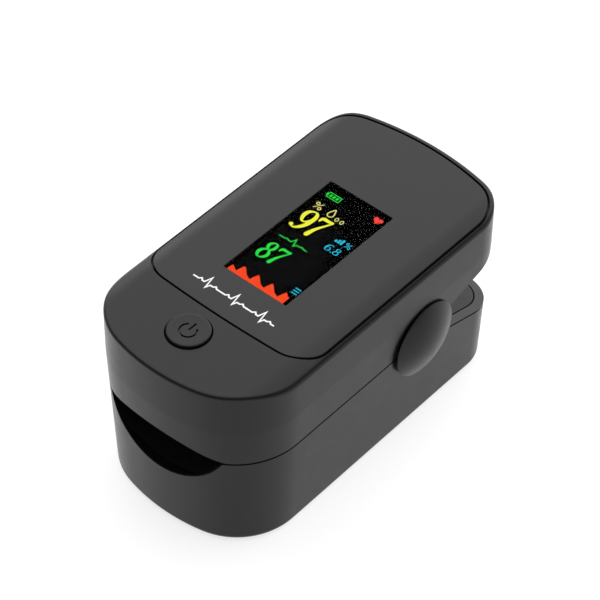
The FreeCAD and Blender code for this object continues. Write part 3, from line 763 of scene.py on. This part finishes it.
def power_button():
    """A round key with a slightly dished face and a power symbol cut into it. The profile is in mm."""
    centre = middle("power_button")
    top = high("power_button").z
    bottom = low("power_button").z
    height = (top - bottom) / MM
    radius, rim, dish = 3.1, 0.25, 0.07
    profile = [(0, 0.02), (0, 1.6), (0.8, 1.6), (0.75, 4.1), (1.45, 4.1), (1.5, radius)]
    for step in range(9):
        turn = step / 8 * math.pi / 2
        profile.append((height - rim + rim * math.sin(turn), radius - rim + rim * math.cos(turn)))
    for step in range(1, 9):
        r = (radius - rim) * (1 - step / 8) + 0.02
        profile.append((height - dish * (1 - (r / (radius - rim)) ** 2), r))
    cap = lathe("power_key", profile, (centre.x, centre.y, bottom), (0, 0, 1), MATERIALS["button_plastic"])

    face = top - dish * MM
    line, floor_z, above = 0.30 * MM, face - 0.24 * MM, face + 0.3 * MM
    symbol = Vector((centre.x, centre.y - 0.1 * MM, 0))
    combine(cap, [ring_stroke(symbol, 1.22 * MM, line, 128, 412, floor_z, above)])
    combine(cap, [block((symbol.x - line / 2, symbol.y + 0.1 * MM, floor_z),
                        (symbol.x + line / 2, symbol.y + 1.62 * MM, above))])
    for polygon in cap.data.polygons:
        polygon.use_smooth = True
    rounded(cap, 0.03 * MM, angle=40, segments=1)
    placed(cap, "power_button", "button_plastic", "power_button")


power_button()


# ------------------------------------------------------------------ cells, springs and cable
def battery(name, side):
    """A cell in its sleeve, with steel ends and a nub at the positive one. The profiles are in mm."""
    node = "battery_" + name
    centre, start, end = middle(node), low(node).y, high(node).y
    length = (end - start) / MM
    radius = min(high(node).x - low(node).x, high(node).z - low(node).z) / 2 / MM
    place = Vector((centre.x, start if side > 0 else end, centre.z))
    sleeve = [(0.45, radius - 1.0), (0.0, radius - 0.9), (0.0, radius - 0.35), (0.1, radius - 0.12),
              (0.35, radius), (length - 1.15, radius), (length - 0.92, radius - 0.12),
              (length - 0.82, radius - 0.4), (length - 0.82, radius - 1.0), (length - 1.1, radius - 1.1)]
    skin = lathe("cell_sleeve_" + name, sleeve, place, (0, side, 0), MATERIALS["cell_jacket"], steps=72)
    placed(skin, "lower_jaw", "cell_jacket", node)
    steel = [(0.2, 0.02), (0.05, radius - 1.5), (0.06, radius - 1.02), (0.5, radius - 0.95),
             (length - 1.25, radius - 0.95), (length - 1.05, radius - 1.05), (length - 0.95, radius - 1.5),
             (length - 0.85, 2.1), (length - 0.75, 1.9), (length - 0.12, 1.85), (length, 1.65),
             (length, 0.02)]
    can = lathe("cell_can_" + name, steel, place, (0, side, 0), MATERIALS["contact_metal"], steps=72)
    placed(can, "lower_jaw", "contact_metal")


def contact_coil(name, turns):
    """A small conical compression spring, flat at both ends, that presses on a cell."""
    node = "contact_spring_" + name
    length = high(node).y - low(node).y
    wire = min(0.36 * MM, length * 0.45)
    wide, narrow, steps, flat = 1.95 * MM, 1.6 * MM, 26, 0.8
    start = Vector((middle(node).x, low(node).y, middle(node).z))
    axis, spoke = spokes_round((0, 1, 0))
    path = []
    count = int(turns * steps)
    for i in range(count + 1):
        lead = min(1.0, max(0.0, (i / steps - flat) / (turns - 2 * flat)))
        path.append(start + axis * (wire / 2 + (length - wire) * lead)
                    + spoke(2 * math.pi * i / steps) * (wide + (narrow - wide) * i / count))
    placed(tube("coil_" + name, path, wire / 2, MATERIALS["spring_steel"]), "lower_jaw", "spring_steel", node)


def torsion_coil(name, side):
    """The wire spring round a hinge pin: one leg lies in each jaw, so it winds up as the jaws open."""
    node = "torsion_spring_" + name
    inner = (low(node).x if side > 0 else -high(node).x)
    outer = (high(node).x if side > 0 else -low(node).x)
    wire, mean = 0.56 * MM, 2.12 * MM
    first, last = inner + wire / 2, outer - wire / 2
    turns, steps = 3.5, 30

    def spot(x, y, z):
        return Vector((side * x, HINGE.y + y, HINGE.z + z))

    path = [spot(first, reach * MM, -mean) for reach in (3.3, 1.2)]
    count = int(turns * steps)
    for i in range(count + 1):
        turn = -math.pi / 2 - 2 * math.pi * i / steps
        path.append(spot(first + (last - first) * i / count, mean * math.cos(turn), mean * math.sin(turn)))
    path += [spot(last, reach * MM, mean) for reach in (1.4, 3.2, 5.2)]
    piece = tube("winding_" + name, path, wire / 2, MATERIALS["spring_steel"])
    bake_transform(piece, "lower_jaw", "upper_jaw", start=(side * first, HINGE.y, HINGE.z),
             end=(side * last, HINGE.y, HINGE.z))
    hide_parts(node)


def flex_cable():
    """The flat cable that leaves the sensor board, wraps the hinge barrel and rises to the main board."""
    node = "hinge_flex"
    half, thick, mean = 2.0 * MM, 0.16 * MM, 3.6 * MM
    bottom, front, top = low(node).z + 0.1 * MM, low(node).y + 0.05 * MM, high(node).z
    back = HINGE.y - mean         # where the cable stands upright in front of the hinge
    line = [(front, bottom), (front + 4 * MM, bottom), (back - 1.2 * MM, bottom),
            (back - 0.35 * MM, bottom + 0.12 * MM), (back - 0.05 * MM, bottom + 0.45 * MM),
            (back, bottom + 1.2 * MM), (back, HINGE.z - 1.0 * MM)]
    for k in range(13):
        turn = math.radians(180 - 60 * k / 12)
        line.append((HINGE.y + mean * math.cos(turn), HINGE.z + mean * math.sin(turn)))
    y, z = line[-1]
    line += [(y + 0.02 * MM, height) for height in (z + 0.6 * MM, (z + top) / 2, top)]
    rings = []
    for i, (y, z) in enumerate(line):
        before, after_it = line[max(i - 1, 0)], line[min(i + 1, len(line) - 1)]
        ahead = Vector((0, after_it[0] - before[0], after_it[1] - before[1])).normalized()
        out = Vector((0, -ahead.z, ahead.y)) * thick / 2
        spot, wide = Vector((0, y, z)), Vector((half, 0, 0))
        rings.append([spot - wide - out, spot - out, spot + wide - out,
                      spot + wide + out, spot + out, spot - wide + out])
    piece = solid("flex_cable", rings, MATERIALS["flex_amber"])
    rounded(piece, 0.02 * MM, 40)
    apply_modifiers(piece)
    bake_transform(piece, "lower_jaw", "upper_jaw", start=(0, HINGE.y - mean, HINGE.z - 1 * MM),
             end=(0, HINGE.y - mean / 2, HINGE.z + mean * 0.87))
    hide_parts(node)


for name, side in SIDES:
    battery(name, side)
    torsion_coil(name, side)
contact_coil("front", 2.9)
contact_coil("rear", 2.1)
flex_cable()


# ------------------------------------------------------------------ display picture
def curve_points(controls, steps=10, closed=False):
    """A smooth line through a few points, each with a width: (x, y, width)."""
    count = len(controls)
    line = []
    for i in range(count if closed else count - 1):
        p0, p1, p2, p3 = (Vector(controls[k % count] if closed else controls[max(0, min(count - 1, k))])
                          for k in (i - 1, i, i + 1, i + 2))
        for step in range(steps):
            t = step / steps
            line.append(0.5 * ((2 * p1) + (p2 - p0) * t + (2 * p0 - 5 * p1 + 4 * p2 - p3) * t * t
                               + (3 * p1 - p0 - 3 * p2 + p3) * t ** 3))
    if not closed:
        line.append(Vector(controls[-1]))
    return line


class Picture:
    """Flat shapes drawn on a level surface, each with its own colour. All measures are in metres."""

    def __init__(self, left, top, width, height, z):
        self.left, self.top, self.width, self.height = left, top, width, height
        self.z, self.thickness = z, 0.012 * MM
        self.points, self.faces, self.colours = [], [], []

    def at(self, u, v):
        """The place at shares u from the left edge and v down from the top edge."""
        return self.left + u * self.width, self.top - v * self.height

    def outline(self, corners, colour):
        """One filled shape from its corners (x, y)."""
        start, count = len(self.points), len(corners)
        for z in (self.z, self.z + self.thickness):
            self.points += [(x, y, z) for x, y in corners]
        self.faces.append(tuple(start + count + k for k in range(count)))
        self.faces.append(tuple(start + k for k in reversed(range(count))))
        for k in range(count):
            n = (k + 1) % count
            self.faces.append((start + k, start + n, start + count + n, start + count + k))
        self.colours += [colour] * (count + 2)

    def bar(self, x, y, w, h, colour, lean=0.0):
        """A bar with its lower left corner at (x, y) and its top moved right by lean."""
        self.outline([(x, y), (x + w, y), (x + w + lean, y + h), (x + lean, y + h)], colour)

    def dot(self, x, y, radius, colour, steps=20):
        turns = [2 * math.pi * k / steps for k in range(steps)]
        self.outline([(x + radius * math.cos(turn), y + radius * math.sin(turn)) for turn in turns], colour)

    def stroke(self, controls, box, colour, slant=0.0, closed=False, smooth=True):
        """A line of varying width. Controls are in a unit square that box (x, y, w, h) places."""
        x0, y0, w, h = box
        line = curve_points(controls, closed=closed) if smooth else [Vector(c) for c in controls]
        places = [Vector((x0 + point.x * w + slant * point.y * h, y0 + point.y * h)) for point in line]
        count = len(line)
        sides = []
        for i, place in enumerate(places):
            before = places[(i - 1) % count] if closed or i > 0 else place
            following = places[(i + 1) % count] if closed or i < count - 1 else place
            arrive, leave = place - before, following - place
            arrive = (arrive if arrive.length > 0 else leave).normalized()
            leave = (leave if leave.length > 0 else arrive).normalized()
            out = Vector((-arrive.y - leave.y, arrive.x + leave.x)).normalized()
            mitre = max(0.35, out.dot(Vector((-arrive.y, arrive.x))))
            reach = out * line[i].z * h / 2 / mitre
            sides.append((place + reach, place - reach))
        self.strip(sides, closed, colour)

    def strip(self, sides, closed, colour):
        """One band between pairs of points."""
        start, count = len(self.points), len(sides)
        for pair in sides:
            for corner in pair:
                self.points += [(corner.x, corner.y, self.z), (corner.x, corner.y, self.z + self.thickness)]
        for i in range(count if closed else count - 1):
            a, b = start + 4 * i, start + 4 * ((i + 1) % count)
            self.faces += [(a + 1, b + 1, b + 3, a + 3), (a, a + 2, b + 2, b), (a, b, b + 1, a + 1),
                           (a + 2, a + 3, b + 3, b + 2)]
            self.colours += [colour] * 4
        if not closed:
            last = start + 4 * (count - 1)
            self.faces += [(start, start + 1, start + 3, start + 2), (last, last + 2, last + 3, last + 1)]
            self.colours += [colour] * 2

    def finished(self, name, materials):
        mesh = bpy.data.meshes.new(name)
        mesh.from_pydata(self.points, [], self.faces)
        piece = add_object(name, mesh, *materials)
        for polygon, colour in zip(mesh.polygons, self.colours):
            polygon.material_index = colour
        reworked(mesh, face_outwards, smooth=False)
        return piece


def digit(picture, figure, box, colour, slant):
    """Old-style italic figures with thick and thin strokes, drawn in a unit square."""
    thick, thin = 0.14, 0.055
    x0, y0, w, h = box

    def stroke(controls, closed=False):
        picture.stroke(controls, box, colour, slant, closed)

    def dot(x, y, radius):
        picture.dot(x0 + x * w + slant * y * h, y0 + y * h, radius * h, colour)

    if figure in "96":
        bowl = [(0.50, 0.97, thin), (0.17, 0.86, 0.12), (0.12, 0.66, thick), (0.30, 0.46, 0.10),
                (0.55, 0.42, thin), (0.84, 0.56, 0.12), (0.90, 0.74, thick), (0.76, 0.92, 0.11)]
        tail = [(0.91, 0.72, thick), (0.90, 0.45, 0.15), (0.76, 0.22, 0.13), (0.52, 0.07, 0.09),
                (0.28, 0.03, thin), (0.10, 0.10, 0.09)]
        if figure == "6":         # a 9 turned upside down
            bowl, tail = ([(1 - x, 1 - y, t) for x, y, t in part] for part in (bowl, tail))
        stroke(bowl, closed=True)
        stroke(tail)
        dot(*tail[-1][:2], 0.072)
    if figure == "8":
        stroke([(0.52, 0.97, thin), (0.26, 0.88, 0.11), (0.22, 0.73, 0.13), (0.40, 0.58, 0.11),
                (0.56, 0.54, thin), (0.78, 0.65, 0.12), (0.82, 0.80, 0.13), (0.74, 0.93, 0.10)], closed=True)
        stroke([(0.50, 0.54, thin), (0.18, 0.42, 0.12), (0.10, 0.24, thick), (0.28, 0.07, 0.11),
                (0.50, 0.03, thin), (0.80, 0.12, 0.12), (0.90, 0.30, thick), (0.74, 0.48, 0.11)], closed=True)
    if figure == "7":
        stroke([(0.10, 0.74, thin), (0.12, 0.86, 0.10), (0.20, 0.93, 0.13)])
        stroke([(0.16, 0.925, 0.13), (0.60, 0.92, 0.12), (0.98, 0.95, 0.09)])
        stroke([(0.97, 0.96, thin), (0.70, 0.66, 0.075), (0.46, 0.36, 0.12), (0.36, 0.06, 0.17)])
        dot(0.36, 0.07, 0.085)


def figures(picture, text, u, v, width, height, colour, slant=0.07, gap=0.14):
    """A row of figures whose lower left corner is at (u, v) of the display."""
    x, y = picture.at(u, v)
    for figure in text:
        if figure == ".":
            picture.dot(x + 0.1 * width, y + 0.08 * height, 0.08 * height, colour)
            x += 0.3 * width
            continue
        digit(picture, figure, (x, y, width, height), colour, slant)
        x += width * (1 + gap)


def small_ring(picture, x, y, w, h, width, left, right, colour):
    """A ring through the middles of a box's sides, drawn from left to right of it."""
    picture.stroke([(0.5, 1, width), (left, 0.5, width), (0.5, 0, width), (right, 0.5, width)],
                   (x, y, w, h), colour, closed=True)


def percent(picture, u, v, size, colour):
    x, y = picture.at(u, v)
    w, h = size * 0.36, size * 0.40
    for ring_x, ring_y in ((0.0, 0.56), (0.58, 0.0)):
        small_ring(picture, x + ring_x * size, y + ring_y * size, w, h, 0.30, 0, 1, colour)
    picture.stroke([(0.08, 0.0, 0.10), (0.92, 1.0, 0.10)], (x, y, size * 0.9, size), colour, smooth=False)


def pulse_line(picture, x, y, width, height, thickness, colour, beats=1):
    """Beats of a pulse: a level line with a small wave, a spike and another small wave."""
    beat = [(0.0, 0.36), (0.20, 0.36), (0.27, 0.52), (0.34, 0.36), (0.42, 0.36), (0.50, 1.0), (0.58, 0.0),
            (0.64, 0.36), (0.74, 0.36), (0.81, 0.50), (0.88, 0.36)]
    controls = [((k + px) / beats, py, thickness / height) for k in range(beats) for px, py in beat]
    controls.append((1.0, 0.36, thickness / height))
    picture.stroke(controls, (x, y, width, height), colour, smooth=False)


def display():
    """The lit figures of the display, which lie on its black face and show through the lens."""
    face_low, face_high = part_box("display_glass")
    width, height = face_high.x - face_low.x, face_high.y - face_low.y
    picture = Picture(face_low.x, face_high.y, width, height, face_high.z + 0.012 * MM)
    yellow, pale, green, cyan, red, orange = range(6)

    # battery, top left: four sides, the nub and three leaning bars
    x, y = picture.at(0.075, 0.098)
    w, h, line = 2.25 * MM, 1.12 * MM, 0.13 * MM
    for side_x, side_y, side_w, side_h in (
            (0, 0, w, line), (0, h - line, w, line), (0, 0, line, h), (w - line, 0, line, h),
            (-0.2 * MM, 0.28 * h, 0.2 * MM, 0.44 * h)):
        picture.bar(x + side_x, y + side_y, side_w, side_h, green)
    for k in range(3):
        picture.bar(x + (0.36 + 0.56 * k) * MM, y + 0.30 * MM, 0.34 * MM, 0.52 * MM, green, lean=0.08 * MM)

    # heart, top right
    x, y = picture.at(0.870, 0.052)
    half = 0.76 * MM
    heart = []
    for t in (-2 * math.pi * k / 36 for k in range(1, 37)):
        rise = 13 * math.cos(t) - 5 * math.cos(2 * t) - 2 * math.cos(3 * t) - math.cos(4 * t)
        heart.append((x + half * math.sin(t) ** 3, y + half * rise / 16))
    picture.outline(heart, red)

    # oxygen: percent sign, drop, two small rings and figures
    percent(picture, 0.075, 0.225, 1.35 * MM, pale)
    drop = [(0.5, 1.18), (0.24, 0.78), (0.08, 0.42), (0.14, 0.14), (0.5, 0.0), (0.86, 0.14), (0.92, 0.42),
            (0.76, 0.78)]
    picture.stroke([(a, b, 0.13) for a, b in drop], (*picture.at(0.30, 0.228), 1.1 * MM, 1.4 * MM), pale,
                   closed=True)
    x, y = picture.at(0.440, 0.232)
    for k in range(2):
        small_ring(picture, x + k * 0.9 * MM, y, 0.62 * MM, 0.72 * MM, 0.2, 0.1, 0.9, pale)
    figures(picture, "97", 0.055, 0.450, 2.1 * MM, 4.5 * MM, yellow)

    # perfusion: three bars, percent sign and figures
    x, y = picture.at(0.690, 0.370)
    for k in range(3):
        picture.bar(x + k * 0.46 * MM, y, 0.34 * MM, (0.45 + 0.3 * k) * MM, cyan)
    percent(picture, 0.845, 0.370, 1.0 * MM, cyan)
    figures(picture, "6.8", 0.672, 0.465, 0.92 * MM, 1.35 * MM, cyan, slant=0.05, gap=0.25)

    # pulse rate: beat line and figures
    pulse_line(picture, *picture.at(0.10, 0.575), 5.0 * MM, 1.3 * MM, 0.16 * MM, green)
    figures(picture, "87", 0.075, 0.787, 1.78 * MM, 3.65 * MM, green)

    # menu lines, bottom right
    for k in range(3):
        picture.bar(*picture.at(0.872, 0.838 + 0.022 * k), 1.0 * MM, 0.17 * MM, cyan)

    # pulse wave along the bottom
    base = picture.at(0, 0.985)[1]
    beat = [(0.0, 0.24), (0.01, 0.55), (0.035, 1.0), (0.06, 0.93), (0.10, 0.70), (0.15, 0.42), (0.19, 0.30)]
    period, first, end = 0.2285, 0.12, 0.93
    tops = [(0.012, 0.30), (0.02, 0.55), (0.06, 0.45), (0.10, 0.28)]
    tops += [(first + period * k + a, b) for k in range(4) for a, b in beat if first + period * k + a < end]
    tops.append((end, 0.75))
    corners = [(picture.left + u * width, base + share * 1.85 * MM) for u, share in tops]
    for (x0, y0), (x1, y1) in zip(corners, corners[1:]):
        picture.outline([(x0, base), (x1, base), (x1, y1), (x0, y0)], orange)

    placed(picture.finished("display_picture", PICTURE_COLOURS), "upper_jaw", "display_black")


def cover_mark():
    """A pulse line printed in white in front of the display."""
    window_front = low("display_window").y
    mark = Picture(0, 0, 1, 1, high("top_panel").z - 0.004 * MM)
    pulse_line(mark, -7.6 * MM, window_front - 4.7 * MM, 14.6 * MM, 2.0 * MM, 0.24 * MM, 0, beats=3)
    placed(mark.finished("printed_mark", [WHITE_INK]), "upper_jaw", "backlight_white")


display()
cover_mark()


# ------------------------------------------------------------------ floor, light and camera
FLOOR_GREY, FLOOR_GLOW, FLOOR_HALF = 0.34, 0.75, 3.0
AMBIENT, SOFTBOX = 0.26, 2.0
SOFTBOX_EDGE = (0.44, 0.72)       # cosines from the softbox's middle at which it has faded out and is full
SOFTBOX_AT = (-0.24, 0.58, 0.78)  # behind the object and above it
AZIMUTH, ELEVATION, ROLL = 40.68, 45.89, -0.66
CAMERA_AT, LENS, SENSOR = (0.1688, -0.1957, 0.2872), 159.7, 36.0


def floor():
    mat, shader, _ = new_material("floor")
    settle(shader, {"Base Color": (FLOOR_GREY, FLOOR_GREY, FLOOR_GREY, 1), "Roughness": 0.95,
                    "Specular IOR Level": 0.0, "Emission Color": (1, 1, 1, 1),
                    "Emission Strength": FLOOR_GLOW})
    mesh = bpy.data.meshes.new("floor")
    corners = [(x * FLOOR_HALF, y * FLOOR_HALF, 0) for x, y in ((-1, -1), (1, -1), (1, 1), (-1, 1))]
    mesh.from_pydata(corners, [], [(0, 1, 2, 3)])
    add_object("floor", mesh, mat)


def studio():
    """An even, dim room with one large softbox whose edge fades out."""
    world = bpy.data.worlds.new("studio")
    bpy.context.scene.world = world
    world.use_nodes = True
    tree = world.node_tree
    direction = tree.nodes.new("ShaderNodeTexCoord").outputs["Generated"]
    towards = after(direction, "VectorMath", 0)
    towards.operation = "DOT_PRODUCT"
    towards.inputs[1].default_value = Vector(SOFTBOX_AT).normalized()
    light = spread(towards.outputs["Value"], AMBIENT, AMBIENT + SOFTBOX, *SOFTBOX_EDGE)
    feed(tree.nodes["Background"], "Color", light)


def camera():
    azimuth, elevation, roll = (math.radians(angle) for angle in (AZIMUTH, ELEVATION, ROLL))
    back = Vector((math.sin(azimuth) * math.cos(elevation), -math.cos(azimuth) * math.cos(elevation),
                   math.sin(elevation)))
    right = Vector((math.cos(azimuth), math.sin(azimuth), 0))
    up = back.cross(right)
    tilted_right = math.cos(roll) * right - math.sin(roll) * up
    tilted_up = math.sin(roll) * right + math.cos(roll) * up
    data = bpy.data.cameras.new("camera")
    data.lens = LENS
    data.sensor_width = SENSOR
    data.clip_start = 0.01
    obj = bpy.data.objects.new("camera", data)
    turn = Matrix((tilted_right, tilted_up, back)).transposed().to_4x4()
    obj.matrix_world = Matrix.Translation(CAMERA_AT) @ turn
    bpy.context.scene.collection.objects.link(obj)
    bpy.context.scene.camera = obj


bpy.context.scene.view_settings.view_transform = "Standard"
floor()
studio()
camera()
